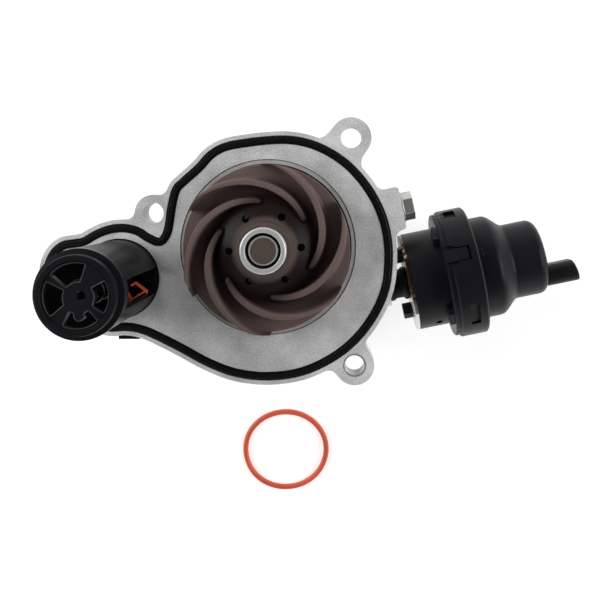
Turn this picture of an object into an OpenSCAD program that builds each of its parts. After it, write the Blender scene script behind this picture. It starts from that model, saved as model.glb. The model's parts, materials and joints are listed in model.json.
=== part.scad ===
// Belt-driven coolant pump with a sliding control sleeve, a vacuum actuator and a cartridge thermostat.
// Millimetres. Origin on the shaft axis in the plane of the mounting face; +Z leaves that face
// towards the engine, and the pump stands on the rear edge of its belt pulley.

/* [Impeller] */
// Diameter over the blade tips and the back disc
impeller_d = 70.6; // [64:0.2:86]
// Number of blades
blade_count = 6; // [5:1:8]
// Thickness of a blade at its middle
blade_t = 2.8; // [2:0.1:3.4]
// Angle that a blade sweeps from its inner end to its tip
blade_sweep = 120; // [90:5:130]
// Height of the blades above the edge of the back disc
blade_h = 9; // [7:0.5:12]
// Thickness of the back disc at its edge
disc_t = 2.6; // [2:0.1:3.4]
// Gap between the mounting face and the back of the disc
impeller_lift = 4.4; // [4:0.1:6]
// Height of the hub collar above the edge of the disc
hub_h = 12.5; // [10:0.5:15]
// Diameter of the pressure balance holes
balance_hole_d = 3.2; // [2.5:0.1:4]

/* [Shaft and bush] */
// Diameter of the shaft where it carries the impeller
shaft_d = 12.2; // [10:0.2:14.6]
// Diameter of the shaft inside the bearing
bearing_shaft_d = 14; // [13:0.2:17]
// Wall of the steel bush between the shaft and the impeller
bush_wall = 3.4; // [3:0.1:4.2]
// Length of the steel bush
bush_len = 21; // [16:0.5:24]

/* [Control sleeve] */
// Wall of the sliding sleeve
sleeve_t = 1.6; // [1.4:0.1:2.4]
// Gap between the impeller and the sleeve
sleeve_gap = 0.6; // [0.4:0.1:1]
// Gap between the sleeve and the housing bore
sleeve_run = 0.3; // [0.2:0.05:0.5]
// Travel of the sleeve over the blades
sleeve_travel = 15; // [12:0.5:18]
// Diameter of the cross pin that lifts the sleeve
cam_pin_d = 4; // [3:0.2:4.6]
// Stroke of the actuator rod
rod_stroke = 12; // [10:0.5:15]

/* [Housing] */
// Thickness of the flange and its thick bolt lugs
flange_t = 11.6; // [10:0.2:14]
// Thickness of the thin lug at the upper right
thin_lug_t = 8; // [6:0.5:9]
// Wall of the cups behind the flange
cup_wall = 4.2; // [3:0.2:5.4]
// Wall between the sleeve cavity and the bearing
back_wall_t = 4; // [3:0.5:6]
// Width of flat land between the impeller bore and the thermostat bore
thermo_land = 10.4; // [9:0.2:13]
// Direction of the thermostat axis from the shaft axis
thermo_angle = 192; // [188:1:196]

/* [Bolt lugs] */
// Diameter of the bolt holes
bolt_hole_d = 9; // [8.4:0.1:9.6]
// Wall around a bolt hole
lug_wall = 3.5; // [3:0.1:4.4]
// Outside diameter of the dowel sleeve
dowel_d = 10; // [9.4:0.1:11.6]
// Wall of the dowel sleeve
dowel_wall = 0.8; // [0.6:0.1:1]

/* [Gasket] */
// Width of the rubber gasket
gasket_w = 3.2; // [2.6:0.1:3.6]
// Height of the gasket above the mounting face
gasket_proud = 0.9; // [0.5:0.1:1.2]
// Depth of the gasket groove
groove_depth = 2.6; // [2:0.1:3.2]
// Width of metal outside the groove
rim_w = 1.8; // [1.4:0.1:3]

/* [Bearing and seal] */
// Outside diameter of the bearing
bearing_d = 30; // [28:0.5:36]
// Length of the bearing
bearing_len = 24; // [22:0.5:30]
// Diameter of a bearing ball
ball_d = 4.4; // [4:0.1:5]
// Balls in each of the two rows
ball_count = 9; // [7:1:10]
// Outside diameter of the shaft seal's cup
seal_d = 25.8; // [24:0.2:30]

/* [Belt drive] */
// Outside diameter of the pulley
pulley_d = 86; // [72:1:88]
// Width of the pulley's rim
pulley_w = 24; // [22:0.5:29]
// Pitch of the belt ribs
rib_pitch = 3.56; // [3.3:0.01:3.7]
// Thickness of the pulley's web
web_t = 3; // [2.5:0.25:4]
// Pitch circle diameter of the pulley bolts
hub_bolt_pcd = 28; // [26:0.5:34]

/* [Actuator] */
// Angle of the actuator axis in the plane of the mounting face
actuator_angle = 11.6; // [8:0.2:16]
// Diameter of the actuator can
can_d = 43.5; // [40:0.5:52]
// Length of the can from its bracket to the clamp ring
can_len = 17; // [15:0.5:20]
// Outside diameter of the clamp ring
clamp_d = 57.3; // [54:0.5:68]
// Width of the clamp ring
clamp_w = 12.4; // [11.5:0.2:15]
// Diameter of the wide part of the bell cover
bell_d = 45.3; // [42:0.5:50]
// Length of the wide part of the bell cover beyond the clamp ring
bell_len = 10; // [8:0.5:12]
// Diameter of the narrow part of the bell cover
bell_nose_d = 33.7; // [28:0.5:38]
// Length of the narrow part of the bell cover
bell_nose_len = 16; // [13:0.5:19]
// Wall of the actuator's plastic shells
shell_t = 1.8; // [1.4:0.1:2.2]
// Diameter of the actuator rod
rod_d = 6; // [5:0.2:6.6]
// Length of the connector beyond the bell cover
port_len = 15; // [12:0.5:18]

/* [Thermostat] */
// Diameter of the thermostat cartridge
cartridge_d = 33.4; // [30:0.2:40]
// Gap around the cartridge in its housing bore
cartridge_gap = 0.5; // [0.3:0.1:1]
// Height of the cartridge above the mounting face
cartridge_h = 58; // [48:1:70]
// Depth of the cartridge below the mounting face
cartridge_depth = 33; // [28:1:36]
// Wall of the cartridge
cartridge_wall = 1.9; // [1.5:0.1:2.3]
// Stroke of the thermostat's valve
valve_stroke = 8; // [6:0.5:9]

/* [Loose sealing ring] */
// Outside diameter of the ring
ring_d = 42.8; // [38:0.2:50]
// Section of the ring
ring_section = 2.8; // [2.2:0.1:3.4]
// Distance of the ring in front of the shaft axis
ring_y = -108.8; // [-125:0.2:-100]

/* [Quality] */
// Facets of a full circle
facets = 64; // [48:8:96]

/* [Hidden] */
$fn = facets;
FIT = 0.05;      // radial gap of pieces fixed in one another
RUN = 0.08;      // radial gap of turning and sliding fits
CLEAR = 0.4;     // free gap between pieces that move past each other

// Stations along the shaft
impeller_r = impeller_d / 2;
shaft_r = shaft_d / 2;
bearing_shaft_r = bearing_shaft_d / 2;
bush_r = shaft_r + bush_wall;
disc_top_z = impeller_lift + disc_t;
blade_top_z = disc_top_z + blade_h;
hub_top_z = disc_top_z + hub_h;
bush_z = hub_top_z + 4.5 - bush_len;
shaft_top_z = bush_z + bush_len - 1.2;
cavity_r = impeller_r + sleeve_gap + sleeve_t + sleeve_run;
sleeve_r = cavity_r - sleeve_run;

// The cam plate on the rod lifts the sleeve's cross pin
cam_pin_r = cam_pin_d / 2;
cam_slot_r = cam_pin_r + 0.15;
cam_wall = 1.2;
pin_top_z = impeller_lift - CLEAR - cam_wall - cam_slot_r - 0.65;
pin_rest_z = pin_top_z - sleeve_travel;
rod_r = rod_d / 2;
rod_bore_r = rod_r + 1.6;
rod_z = pin_rest_z - cam_slot_r - rod_r + 0.15;
cavity_depth = -rod_z + rod_r + 1;
cup_r = cavity_r + cup_wall;
wall_z = -cavity_depth - back_wall_t;
bearing_r = bearing_d / 2;
bearing_z = wall_z - bearing_len;
boss_r = bearing_r + 5.5;
sleeve_front_z = -0.4;
sleeve_rear_z = -cavity_depth + 1.5;

// Shaft seal
seal_r = seal_d / 2;
seal_flange_t = 0.8;
seal_seat_r = seal_r + 4;
seal_seat_z = -cavity_depth / 2;
seal_face_z = seal_seat_z - 0.4;
seal_ring_t = 4.4;

// Belt drive
hub_z = bearing_z - 1.2;
hub_len = 8;
hub_flange_t = 4;
hub_flange_r = hub_bolt_pcd / 2 + 5;
web_z = hub_z - hub_len - web_t;
floor_z = web_z - 6;
pulley_r = pulley_d / 2;
rim_t = 5;
bolt_r = 3;
bolt_count = 3;

// Thermostat
cartridge_r = cartridge_d / 2;
thermo_bore_r = cartridge_r + cartridge_gap;
thermo_dist = cavity_r + thermo_bore_r + thermo_land;
thermo_x = thermo_dist * cos(thermo_angle);
thermo_y = thermo_dist * sin(thermo_angle);
thermo_cup_r = thermo_bore_r + cup_wall - 0.4;
thermo_floor_z = -cartridge_depth - 1;
thermo_plug_r = 5;
thermo_plug_z = thermo_floor_z + 10;
cap_h = 6.5;
cap_z = cartridge_h - cap_h;
window_low = -22;
window_high = 17;
barrel_step = 1.2;
valve_r = cartridge_r - cartridge_wall - barrel_step - CLEAR;
valve_z = -cartridge_depth + 12 + valve_stroke;
spring_wire_r = 0.8;

// Actuator: local X runs along the rod from the point nearest the shaft, local Y across it
cam_offset = cavity_r - 8.4;
bracket_s = cavity_r + 18.7;
neck_s = bracket_s - 8.8;
bracket_t = 1.5;
can_r = can_d / 2;
can_s = bracket_s + bracket_t;
clamp_s = can_s + can_len;
clamp_end_s = clamp_s + clamp_w;
clamp_r = clamp_d / 2;
rim_r = clamp_r - 2.6;
joint_s = clamp_s + clamp_w / 2;
rim_plate_t = 2.4;
bell_r = bell_d / 2;
bell_end_s = clamp_end_s + bell_len;
nose_r = bell_nose_d / 2;
shoulder_len = 4.5;
nose_end_s = bell_end_s + shoulder_len + bell_nose_len;
neck_r = rod_r + 5.8;
pad_z = -12;
foot_w = 10.6;
screw_r = 2.4;
screw_depth = 5.4;
SCREW_S = [neck_s - 4.6, neck_s - 12.4];
port_y = -9.3;
port_w = 9.6;
port_h = 14;
port_slant = 1.6;
piston_r = min(can_r, bell_r) - shell_t - 3;
membrane_t = 1;

// Bolt lugs: angle and distance of each hole from the shaft axis, wall, and thickness
hole_r = bolt_hole_d / 2;
dowel_r = dowel_d / 2;
LUG_LEFT = [163.6, cavity_r + 13.7];
LUG_TOP = [52.9, cavity_r + 21.4];
LUG_LOW = [306.1, cavity_r + 25.3];
far_lug_dist = thermo_bore_r + 12.3;
far_lug_angle = 211.7;

// Distance of the gasket's centre line beyond the impeller bore: angle, distance
PUMP_ARC = [[-19, 15.6], [-6, 14.3], [5, 13.6], [15, 13], [25, 12.3], [35, 11.7], [45, 11.3],
    [55, 10.8], [66, 10.2], [77, 9.3], [88, 8.2], [101, 7.9], [113, 9], [122, 8.8], [131, 7.4],
    [142, 8.1], [148, 8.8], [157, 7.2], [171, 5.9]];
PUMP_LOW_ARC = [[229, 19.5], [243, 18.1], [256, 18], [270, 17.8], [285, 17.7], [300, 17.2],
    [314, 16.8], [328, 16.2]];
// The same beyond the thermostat bore
THERMO_ARC = [[42, 6.4], [54, 4.3], [68, 4.6], [82, 4.6], [96, 4.4], [110, 4.2], [122, 4.2],
    [134, 4.9], [142, 7.3], [150, 11], [161, 13.2], [175, 13.5], [189, 9.2], [200, 4.2],
    [217, 3.2], [236, 3.9], [256, 4.3], [278, 3.7], [292, 6.1], [302, 11]];

// Colours
ALUMINIUM = [0.72, 0.72, 0.71];
STEEL = [0.62, 0.62, 0.63];
ZINC = [0.66, 0.66, 0.64];
BLACK = [0.11, 0.11, 0.12];
RUBBER = [0.06, 0.06, 0.06];
IMPELLER_BROWN = [0.36, 0.31, 0.3];
SEAL_ORANGE = [0.85, 0.33, 0.2];
BRASS = [0.72, 0.58, 0.3];

// One coordinate of a smooth curve between b and c
function curve(a, b, c, d, t) =
    0.5 * (2 * b + (c - a) * t + (2 * a - 5 * b + 4 * c - d) * t * t
        + (3 * b - a - 3 * c + d) * t * t * t);

// A closed smooth curve through points, with steps to each stretch
function smooth_loop(points, steps) =
    let (n = len(points))
    [for (i = [0:n - 1]) for (k = [0:steps - 1])
        curve(points[(i + n - 1) % n], points[i], points[(i + 1) % n], points[(i + 2) % n], k / steps)];

function around(x, y, bore_r, arc) =
    [for (p = arc) [x + (bore_r + p[1]) * cos(p[0]), y + (bore_r + p[1]) * sin(p[0])]];

// Centre line of the gasket, anticlockwise
function gasket_path() =
    smooth_loop(concat(around(0, 0, cavity_r, PUMP_ARC),
        around(thermo_x, thermo_y, thermo_bore_r, THERMO_ARC),
        around(0, 0, cavity_r, PUMP_LOW_ARC)), 4);

module polar(place, x = 0, y = 0) {
    translate([x + place[1] * cos(place[0]), y + place[1] * sin(place[0]), 0]) children();
}

module at_far_lug() {
    translate([thermo_x, thermo_y, 0]) polar([far_lug_angle, far_lug_dist]) children();
}

module at_thermostat() {
    translate([thermo_x, thermo_y, 0]) children();
}

// Axis of the thermostat's plug: local Z points out of the housing, from a start inside the bore's wall
module at_thermo_plug(inset) {
    at_thermostat() translate([0, -thermo_bore_r + inset, thermo_plug_z]) rotate([90, 0, 0]) children();
}

// Local X along the actuator rod, local Z parallel to the shaft, at the height of the rod
module at_actuator() {
    rotate([0, 0, actuator_angle]) translate([0, -cam_offset, rod_z]) children();
}

// A solid of revolution about the actuator axis: profile points are [radius, station]
module turned(profile) {
    rotate([0, 90, 0]) rotate_extrude() polygon(profile);
}

// A solid of revolution about the shaft axis
module ring(profile) {
    rotate_extrude() polygon(profile);
}

module tube(outer_r, inner_r, z0, z1) {
    translate([0, 0, z0]) difference() {
        cylinder(r = outer_r, h = z1 - z0);
        translate([0, 0, -1]) cylinder(r = inner_r, h = z1 - z0 + 2);
    }
}

// A bar along the actuator axis
module along(r, s0, s1) {
    translate([s0, 0, 0]) rotate([0, 90, 0]) cylinder(r = r, h = s1 - s0);
}

// Seat for a bolt lug: the lug's round end and a neck that runs into the flange
module lug_outline(place, r) {
    hull() {
        polar(place) circle(r = r, $fn = 40);
        polar([place[0], place[1] - 14]) circle(r = r + 1, $fn = 40);
    }
}

// Outline of the flange with a fillet in each inner corner
module flange_outline(fillet = 4) {
    offset(r = -fillet) offset(r = fillet) union() {
        offset(r = gasket_w / 2 + 0.3 + rim_w) polygon(gasket_path());
        lug_outline(LUG_LEFT, hole_r + lug_wall);
        lug_outline(LUG_LOW, dowel_r + lug_wall);
        plug_boss_outline();
        translate([thermo_x, thermo_y]) lug_outline([far_lug_angle, far_lug_dist], hole_r + lug_wall - 0.4);
    }
}

module thin_lug_outline() {
    offset(r = -5) offset(r = 5) union() {
        lug_outline(LUG_TOP, hole_r + lug_wall + 0.9);
        intersection() {
            offset(r = gasket_w / 2 + 0.2 + rim_w) polygon(gasket_path());
            polar([LUG_TOP[0], cavity_r]) circle(r = 30);
        }
    }
}

// Boss on the right edge that takes the hexagon plug
plug_angle = 12;
plug_y = 9.6;
plug_s = cavity_r + 22.2;
plug_z = -7;
plug_thread_r = 4;
plug_hex_r = 6.3;
washer_t = 0.8;

module plug_boss_outline() {
    rotate(plug_angle) translate([plug_s - 16, plug_y - 14.4])
        offset(r = 1.5) offset(r = -1.5) square([16, 18.6]);
}

module at_plug() {
    rotate([0, 0, plug_angle]) translate([0, plug_y - 5, plug_z]) children();
}

module gasket_band(w) {
    difference() {
        offset(r = w / 2) polygon(gasket_path());
        offset(r = -w / 2) polygon(gasket_path());
    }
}

module pump_housing() {
    color(ALUMINIUM) difference() {
        union() {
            translate([0, 0, -flange_t]) linear_extrude(flange_t) flange_outline();
            translate([0, 0, -flange_t + 1]) linear_extrude(thin_lug_t) thin_lug_outline();
            // cup behind the sleeve cavity, and the cup of the thermostat
            translate([0, 0, wall_z]) cylinder(r = cup_r, h = -wall_z - flange_t + 1);
            at_thermostat() translate([0, 0, thermo_floor_z - 4])
                cylinder(r = thermo_cup_r, h = -thermo_floor_z + 4 - flange_t + 1);
            // duct between the two cups
            rotate([0, 0, thermo_angle]) translate([0, -cartridge_r + 3, wall_z + 3])
                cube([thermo_dist - 4, 2 * cartridge_r - 6, -wall_z - 3 - flange_t + 1]);
            // bearing boss and its ribs
            translate([0, 0, bearing_z]) cylinder(r = boss_r, h = bearing_len + 1);
            for (a = [20:60:320]) rotate([0, 0, a]) translate([boss_r - 2, -2, wall_z])
                rotate([90, 0, 0]) translate([0, 0, -4]) linear_extrude(4)
                    polygon([[0, -bearing_len * 0.6], [3, -bearing_len * 0.6],
                        [cup_r - boss_r - 1, 0], [cup_r - boss_r - 1, 2], [0, 2]]);
            // neck around the actuator rod, and the pad under it for the bracket
            at_actuator() {
                along(neck_r, cavity_r - 12, neck_s);
                translate([neck_s - 17, -foot_w / 2, pad_z]) cube([16, foot_w, 10]);
            }
        }
        // sleeve cavity and the seat of the shaft seal
        difference() {
            translate([0, 0, -cavity_depth]) cylinder(r = cavity_r, h = cavity_depth + 1);
            translate([0, 0, -cavity_depth - 1])
                cylinder(r = seal_seat_r, h = seal_seat_z + cavity_depth + 1);
        }
        translate([0, 0, bearing_z - 1]) cylinder(r = seal_r + FIT, h = -bearing_z + 1);
        translate([0, 0, bearing_z - 1]) cylinder(r = bearing_r + FIT, h = bearing_len + 1);
        // thermostat bore and the duct to the impeller
        at_thermostat() translate([0, 0, thermo_floor_z])
            cylinder(r = thermo_bore_r, h = -thermo_floor_z + 1);
        rotate([0, 0, thermo_angle]) translate([cavity_r - 3, -8, -cavity_depth + 4])
            cube([thermo_land + 6, 16, cavity_depth - 8]);
        // hole of the thermostat's plug
        at_thermo_plug(2) cylinder(r = thermo_plug_r + FIT, h = cup_wall + 6);
        // rod bore
        at_actuator() along(rod_bore_r, cavity_r / 3, neck_s + 1);
        // bracket screws
        at_actuator() for (s = SCREW_S) translate([s, 0, pad_z - 1])
            cylinder(r = screw_r + FIT, h = screw_depth + 1.2);
        // bolt lugs
        polar(LUG_LEFT) translate([0, 0, -flange_t - 1]) cylinder(r = hole_r, h = flange_t + 2);
        polar(LUG_TOP) translate([0, 0, -flange_t - 1]) cylinder(r = hole_r, h = flange_t + 2);
        polar(LUG_LOW) translate([0, 0, -flange_t - 1]) cylinder(r = dowel_r + FIT, h = flange_t + 2);
        at_far_lug() translate([0, 0, -flange_t - 1]) cylinder(r = hole_r, h = flange_t + 2);
        // threaded hole of the hexagon plug
        at_plug() along(plug_thread_r + FIT, plug_s - 11, plug_s + 1);
        // weep hole behind the shaft seal
        translate([0, 0, wall_z - 2]) rotate([0, 90, 250]) cylinder(r = 1.5, h = boss_r + 4);
        // gasket groove
        translate([0, 0, -groove_depth]) linear_extrude(groove_depth + 1) gasket_band(gasket_w + 0.6);
    }
}

module housing_gasket() {
    color(RUBBER) translate([0, 0, -groove_depth]) {
        linear_extrude(groove_depth - 0.2) gasket_band(gasket_w);
        linear_extrude(groove_depth + gasket_proud) gasket_band(gasket_w * 0.55);
    }
}

module dowel_sleeve() {
    color(STEEL) polar(LUG_LOW) tube(dowel_r, dowel_r - dowel_wall, -flange_t, -0.8);
}

module coolant_plug() {
    color(ZINC) at_plug() {
        along(plug_thread_r, plug_s - 9, plug_s + washer_t + 1);
        translate([plug_s + washer_t, 0, 0]) rotate([0, 90, 0]) rotate([0, 0, 30])
            cylinder(r = plug_hex_r, h = 4.4, $fn = 6);
    }
}

module plug_washer() {
    color(STEEL) at_plug() translate([plug_s, 0, 0]) rotate([0, 90, 0])
        tube(plug_hex_r + 0.4, plug_thread_r + 0.15, 0, washer_t);
}

ball_r = ball_d / 2;
ball_pitch_r = bearing_shaft_r + ball_r + 0.1;
race_r = ball_pitch_r + ball_r + 0.1;
ROWS = [bearing_z + bearing_len * 0.27, bearing_z + bearing_len * 0.73];

module bearing_outer_ring() {
    color(STEEL) tube(bearing_r, race_r, bearing_z, wall_z);
}

module bearing_balls() {
    color(STEEL) for (z = ROWS) for (i = [0:ball_count - 1])
        rotate([0, 0, i * 360 / ball_count]) translate([ball_pitch_r, 0, z]) sphere(r = ball_r, $fn = 32);
}

module bearing_cages() {
    color(BRASS) for (z = ROWS) difference() {
        tube(ball_pitch_r + 0.8, ball_pitch_r - 0.8, z - ball_r - 1, z + ball_r + 1);
        for (i = [0:ball_count - 1]) rotate([0, 0, i * 360 / ball_count])
            translate([ball_pitch_r - 3, 0, z]) rotate([0, 90, 0]) cylinder(r = ball_r + FIT, h = 6);
    }
}

module bearing_seals() {
    color(RUBBER) {
        tube(race_r - FIT, bearing_shaft_r + 0.15, bearing_z + 0.4, bearing_z + 1.8);
        tube(race_r - FIT, bearing_shaft_r + 0.15, wall_z - 1.8, wall_z - 0.4);
    }
}

module pump_shaft() {
    color(STEEL) ring([[0, hub_z - hub_len - web_t + 1], [shaft_r, hub_z - hub_len - web_t + 1],
        [shaft_r, hub_z + 0.2], [bearing_shaft_r, hub_z + 0.2], [bearing_shaft_r, wall_z + 1],
        [shaft_r, wall_z + 1], [shaft_r, shaft_top_z - 0.8], [shaft_r - 0.8, shaft_top_z],
        [0, shaft_top_z]]);
}

collar_r = bush_r + 1.9;
balance_r = bush_r + 5.4;
blade_in_r = 19.8;
blade_bow = 1.5;

// Top of the back disc: flat at the rim and rising to the hub in one sweep
module impeller_disc() {
    ring([[bush_r + FIT, impeller_lift - 1.4], [collar_r + 3, impeller_lift - 1.4],
        [collar_r + 8, impeller_lift], [impeller_r, impeller_lift], [impeller_r, disc_top_z],
        [impeller_r - 5.3, disc_top_z + 0.5], [impeller_r - 10.3, disc_top_z + 1.8],
        [impeller_r - 15, disc_top_z + 4], [balance_r + 1, disc_top_z + 6.2],
        [collar_r + 1.2, disc_top_z + 7.7], [collar_r + 0.4, disc_top_z + 9], [collar_r, hub_top_z],
        [bush_r + FIT, hub_top_z]]);
}

// Half the thickness of a blade at t from its inner end (0) to its tip (1)
function blade_half(t) = blade_t / 2 * (0.45 + 0.55 * sin(180 * min(1, 0.12 + t)));
function blade_radius(t) = blade_in_r + (impeller_r + 2 - blade_in_r) * t
    - blade_bow * pow(sin(180 * t), 0.7);
function blade_point(t, side) =
    let (a = 33.5 + blade_sweep * t, r = blade_radius(t) + side * blade_half(t))
    [r * cos(a), r * sin(a)];

module blade_outline(steps = 16) {
    polygon(concat([for (i = [0:steps]) blade_point(i / steps, 1)],
        [for (i = [steps:-1:0]) blade_point(i / steps, -1)]));
}

module impeller() {
    color(IMPELLER_BROWN) difference() {
        union() {
            impeller_disc();
            intersection() {
                for (i = [0:blade_count - 1]) rotate([0, 0, i * 360 / blade_count])
                    translate([0, 0, impeller_lift + 1]) linear_extrude(blade_top_z - impeller_lift - 1)
                        blade_outline();
                // blade tops: flat outside, sloping down to the inner ends
                ring([[blade_in_r - 3, impeller_lift + 0.5], [impeller_r, impeller_lift + 0.5],
                    [impeller_r, blade_top_z], [impeller_r - 8, blade_top_z],
                    [blade_in_r, blade_top_z - 2.6], [blade_in_r - 3, blade_top_z - 5]]);
            }
        }
        for (i = [0:blade_count - 1]) rotate([0, 0, 3 + i * 360 / blade_count])
            translate([balance_r, 0, impeller_lift - 3]) cylinder(r = balance_hole_d / 2, h = 16);
    }
}

module impeller_bush() {
    color(STEEL) ring([[shaft_r + 0.02, bush_z], [bush_r, bush_z], [bush_r, bush_z + bush_len - 0.5],
        [bush_r - 0.5, bush_z + bush_len], [shaft_r + 1.2, bush_z + bush_len],
        [shaft_r + 1.2, bush_z + bush_len - 5], [shaft_r + 0.02, bush_z + bush_len - 5]]);
}

module seal_cup() {
    color(STEEL) ring([[shaft_r + 1.6, wall_z + 2], [seal_r, wall_z + 2], [seal_r, seal_seat_z + 0.05],
        [seal_r + 3, seal_seat_z + 0.05], [seal_r + 3, seal_seat_z + 0.05 + seal_flange_t],
        [seal_r - 0.8, seal_seat_z + 0.05 + seal_flange_t], [seal_r - 0.8, wall_z + 2.8],
        [shaft_r + 1.6, wall_z + 2.8]]);
}

// Coils of the spring that loads the carbon ring
module seal_spring() {
    spring_len = seal_face_z - seal_ring_t - 0.2 - wall_z - 2.9;
    turns = 4;
    pitch = (spring_len - 1.2) / (turns - 1);
    color(STEEL) for (i = [0:turns - 1]) translate([0, 0, wall_z + 3.5 + i * pitch])
        rotate_extrude() translate([seal_r - 2, 0]) circle(r = 0.55, $fn = 24);
}

module seal_carbon_ring() {
    color(BLACK) tube(seal_r - 1, shaft_r + 0.6, seal_face_z - seal_ring_t, seal_face_z);
}

module seal_rotating_ring() {
    color([0.45, 0.42, 0.4]) tube(seal_r - 1.4, shaft_r + FIT, seal_face_z + 0.06, seal_face_z + 6);
}

module at_pulley_bolts() {
    for (i = [0:bolt_count - 1]) rotate([0, 0, 90 + i * 360 / bolt_count])
        translate([hub_bolt_pcd / 2, 0, 0]) children();
}

module drive_hub() {
    color(ZINC) difference() {
        ring([[shaft_r + 0.02, hub_z - hub_len], [hub_flange_r, hub_z - hub_len],
            [hub_flange_r, hub_z - hub_len + hub_flange_t], [shaft_r + 4.4, hub_z - hub_len + hub_flange_t],
            [shaft_r + 4.4, hub_z], [shaft_r + 0.02, hub_z]]);
        at_pulley_bolts() translate([0, 0, hub_z - hub_len - 1])
            cylinder(r = bolt_r + FIT, h = hub_flange_t + 2);
    }
}

rib_count = 6;
rib_depth = 2.6;
module belt_pulley() {
    rim_top_z = floor_z + pulley_w;
    rib_z = floor_z + (pulley_w - rib_count * rib_pitch) / 2;
    color(BLACK) difference() {
        ring(concat([[pulley_r, floor_z]],
            [for (i = [0:rib_count - 1]) each [[pulley_r, rib_z + i * rib_pitch + 0.35],
                [pulley_r - rib_depth, rib_z + (i + 0.5) * rib_pitch - 0.3],
                [pulley_r - rib_depth, rib_z + (i + 0.5) * rib_pitch + 0.3],
                [pulley_r, rib_z + (i + 1) * rib_pitch - 0.35]]],
            [[pulley_r, rim_top_z], [pulley_r - rim_t, rim_top_z], [pulley_r - rim_t, web_z + web_t + 4],
                [pulley_r - rim_t - 4, web_z + web_t], [shaft_r + 1, web_z + web_t], [shaft_r + 1, web_z],
                [pulley_r - rim_t - 1, web_z], [pulley_r - rim_t, floor_z]]));
        at_pulley_bolts() translate([0, 0, web_z - 1]) cylinder(r = bolt_r + 0.3, h = web_t + 2);
        for (i = [0:5]) rotate([0, 0, 30 + i * 60])
            translate([(hub_flange_r + pulley_r - rim_t) / 2, 0, web_z - 1])
                cylinder(r = 4.5, h = web_t + 2);
    }
}

module pulley_bolts() {
    color(ZINC) at_pulley_bolts() translate([0, 0, web_z]) {
        cylinder(r = bolt_r, h = web_t + hub_flange_t + 1.5);
        translate([0, 0, -1.2]) cylinder(r = 6, h = 1.2);
        translate([0, 0, -4.6]) cylinder(r = 5.2, h = 3.8, $fn = 6);
    }
}

module control_sleeve() {
    color(STEEL) difference() {
        union() {
            tube(sleeve_r, sleeve_r - sleeve_t, sleeve_rear_z, sleeve_front_z);
            // ear that carries the lift pin
            rotate([0, 0, actuator_angle]) translate([-3.6, -sleeve_r + sleeve_t / 2, pin_rest_z - 3.4])
                cube([7.2, sleeve_r - sleeve_t / 2 - cam_offset - 2.2, 6.8]);
        }
        rotate([0, 0, actuator_angle]) translate([0, -cam_offset, pin_rest_z]) rotate([90, 0, 0])
            cylinder(r = cam_pin_r + 0.02, h = 20);
        // the rod passes below this notch
        at_actuator() translate([sleeve_r / 3, -rod_r - 1, -8]) cube([40, 2 * rod_r + 2, 8 + rod_r + 0.8]);
        translate([0, 0, -6]) difference() {
            cylinder(r = sleeve_r + 1, h = 1.6);
            translate([0, 0, -1]) cylinder(r = sleeve_r - 0.7, h = 4);
        }
    }
}

module sleeve_seal_ring() {
    color(BLACK) tube(sleeve_r + sleeve_run / 2, sleeve_r - 0.65, -5.9, -4.5);
}

module sleeve_lift_pin() {
    pin_len = sleeve_r - sleeve_t - 0.4 - cam_offset + 2;
    color(STEEL) rotate([0, 0, actuator_angle]) translate([0, -cam_offset + 2, pin_rest_z])
        rotate([90, 0, 0]) cylinder(r = cam_pin_r, h = pin_len);
}

module rod_bush() {
    color(BRASS) at_actuator() rotate([0, 90, 0])
        tube(rod_bore_r - FIT, rod_r + RUN, cavity_r - 2, neck_s - 4);
}

module rod_seal() {
    color(RUBBER) at_actuator() rotate([0, 90, 0])
        tube(rod_bore_r - FIT, rod_r + 0.1, neck_s - 3.6, neck_s - 0.2);
}

// Sleeve that keeps dirt off the rod between the housing and the bracket, with a collar at each end
module rod_boot() {
    boot_r = rod_r + 3.2;
    collar_w = 1.8;
    end = bracket_s - neck_s - 0.2;
    color(RUBBER) at_actuator() translate([neck_s + 0.1, 0, 0]) turned([[rod_r + 1, 0], [boot_r + 0.8, 0],
        [boot_r + 0.8, collar_w], [boot_r, collar_w + 0.8], [boot_r, end - collar_w - 0.8],
        [boot_r + 1.2, end - collar_w], [boot_r + 1.2, end], [rod_r + 1, end]]);
}

// Cam plate in the plane of the rod: its slot lifts the pin as the rod is drawn out
module cam_outline(r) {
    hull() {
        translate([0, pin_rest_z - rod_z]) circle(r = r, $fn = 32);
        translate([-rod_stroke, pin_top_z - rod_z]) circle(r = r, $fn = 32);
    }
}

module actuator_rod() {
    cam_r = cam_slot_r + cam_wall;
    color(STEEL) at_actuator() {
        difference() {
            rotate([90, 0, 0]) translate([0, 0, -1.5]) linear_extrude(3) union() {
                cam_outline(cam_r);
                translate([-cam_r, -2]) square([cam_r + 5, pin_rest_z - rod_z + 2]);
            }
            rotate([90, 0, 0]) translate([0, 0, -2.5]) linear_extrude(5) cam_outline(cam_slot_r);
        }
        along(rod_r, 4.6, joint_s + 3);
    }
}

module bracket_outline() {
    intersection() {
        circle(r = can_r - 0.2);
        square([2 * can_r, 2 * can_r - 8], center = true);
    }
}

// Steel bracket: an upright plate for the can and a foot under the housing's neck
module actuator_bracket() {
    foot_z = pad_z - bracket_t - 0.1;
    color([0.62, 0.5, 0.42]) at_actuator() difference() {
        union() {
            translate([bracket_s, 0, 0]) rotate([90, 0, 90]) linear_extrude(bracket_t) bracket_outline();
            translate([neck_s - 17, -foot_w / 2, foot_z])
                cube([bracket_s - neck_s + 17 + bracket_t, foot_w, bracket_t]);
        }
        along(rod_r + 1.2, bracket_s - 1, bracket_s + bracket_t + 1);
        for (s = SCREW_S) translate([s, 0, foot_z - 1]) cylinder(r = screw_r + 0.3, h = bracket_t + 2);
        at_nuts() along(stud_r + 0.2, -1, bracket_t + 1);
    }
}

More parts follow.
